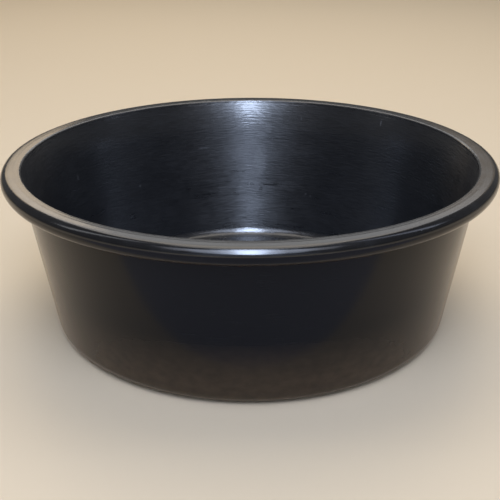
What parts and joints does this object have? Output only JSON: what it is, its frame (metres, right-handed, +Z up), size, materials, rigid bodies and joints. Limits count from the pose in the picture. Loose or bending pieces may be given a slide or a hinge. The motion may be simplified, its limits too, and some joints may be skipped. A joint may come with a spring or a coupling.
{
  "type": "plastic feed pan",
  "caption": "Round black plastic feed pan with a drafted wall, a rolled rim and a flat floor on a low foot ring, open at the top.",
  "frame": {"origin": "centre of the circle that the pan stands on, at the bottom of its foot ring", "axes": "+Z up, along the pan's axis from the floor to the open mouth; X and Y level, and alike because the pan is round"},
  "size_m": [0.32, 0.32, 0.111],
  "materials": {
    "black_polyethylene": "glossy moulded black polyethylene, with fine drag lines on the inside of the wall"
  },
  "bodies": {
    "root": {"feed_pan": "black_polyethylene"}
  },
  "joints": []
}
